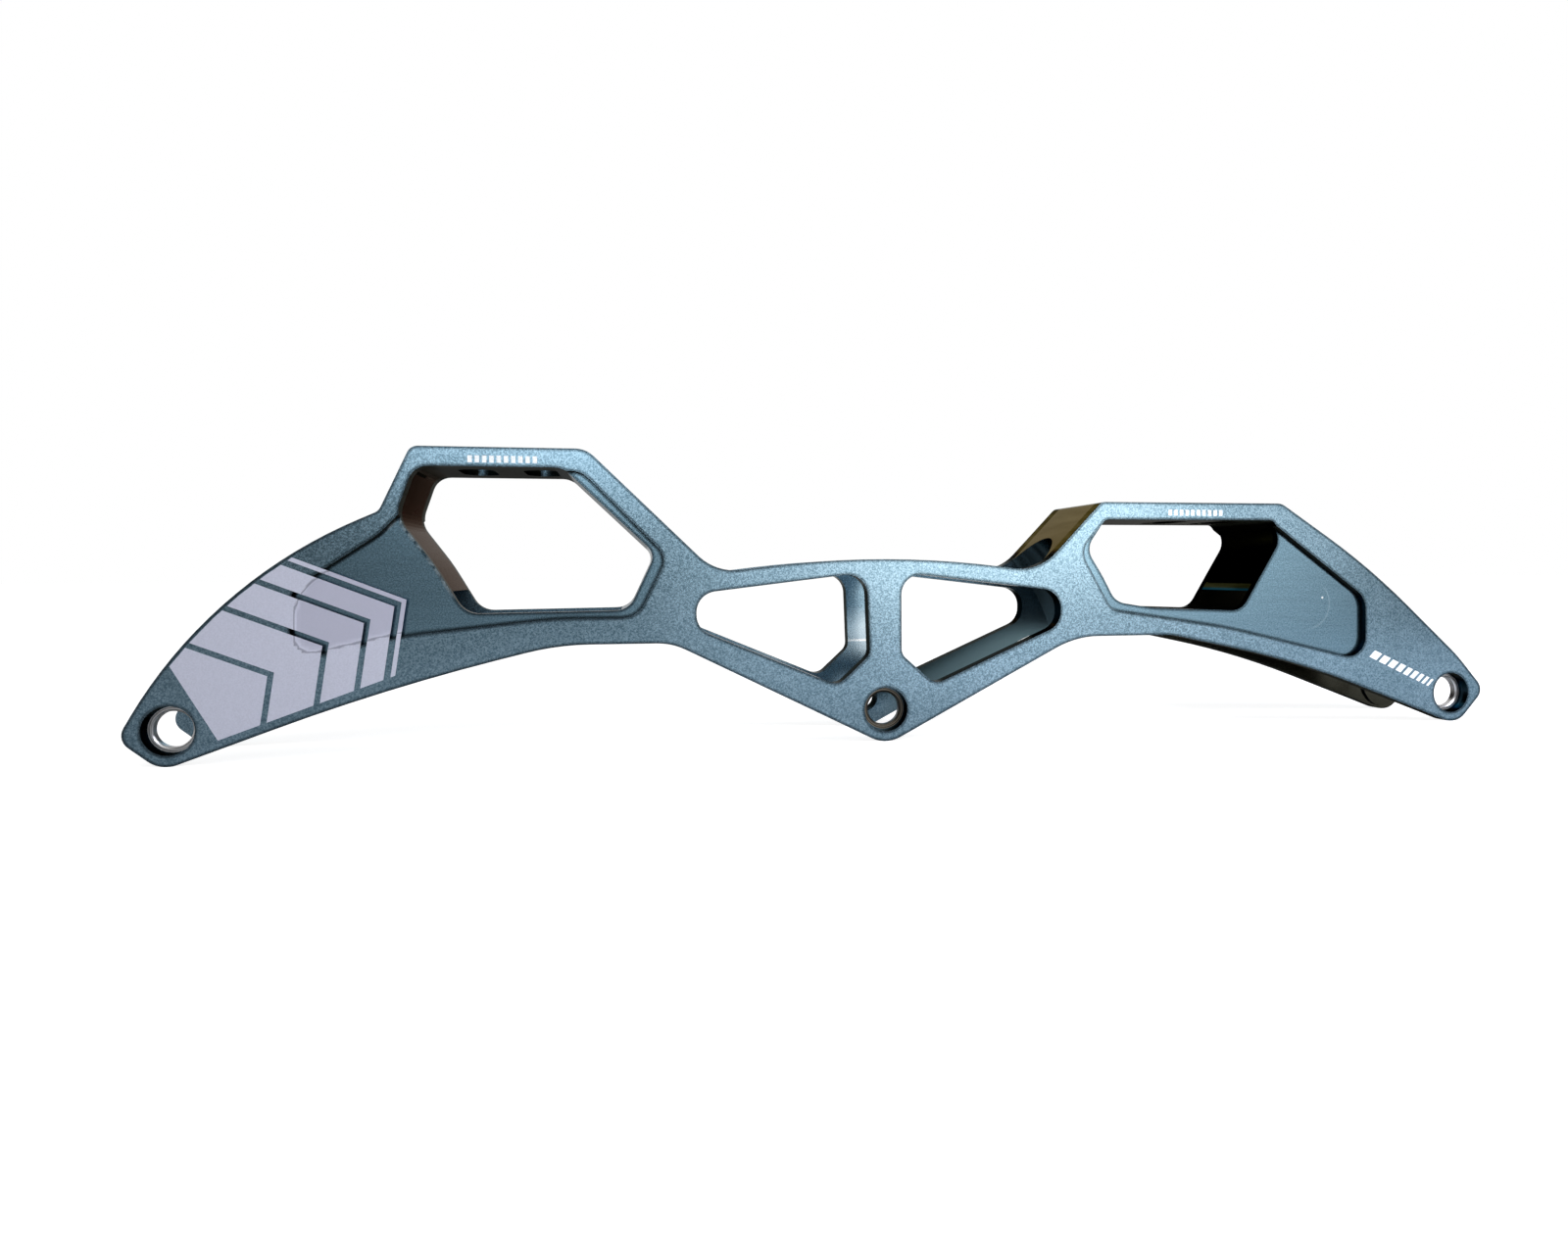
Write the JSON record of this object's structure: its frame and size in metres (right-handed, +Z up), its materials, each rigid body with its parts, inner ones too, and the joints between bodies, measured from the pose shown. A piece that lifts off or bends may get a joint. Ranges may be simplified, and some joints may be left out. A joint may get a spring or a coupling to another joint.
{
  "type": "inline skate frame",
  "caption": "Speed skate frame with two tall side walls, open windows, stepped axle holes and two slotted mounting decks at different heights.",
  "frame": {"origin": "centre axle, half way between the side walls", "axes": "+X to the toe along the row of axles, +Y along the axles to the threaded wall, +Z up to the boot"},
  "size_m": [0.3383, 0.035, 0.071],
  "materials": {
    "anodised_body": "satin anodised",
    "bare_seat": "turned"
  },
  "bodies": {
    "root": {"near_side_wall": "anodised_body", "far_side_wall": "anodised_body", "heel_deck": "anodised_body", "heel_rear_web": "anodised_body", "heel_front_web": "anodised_body", "toe_deck": "anodised_body", "toe_rear_web": "anodised_body", "toe_front_web": "anodised_body", "heel_axle_seat": "bare_seat", "centre_axle_seat": "bare_seat", "toe_axle_seat": "bare_seat"}
  },
  "joints": []
}
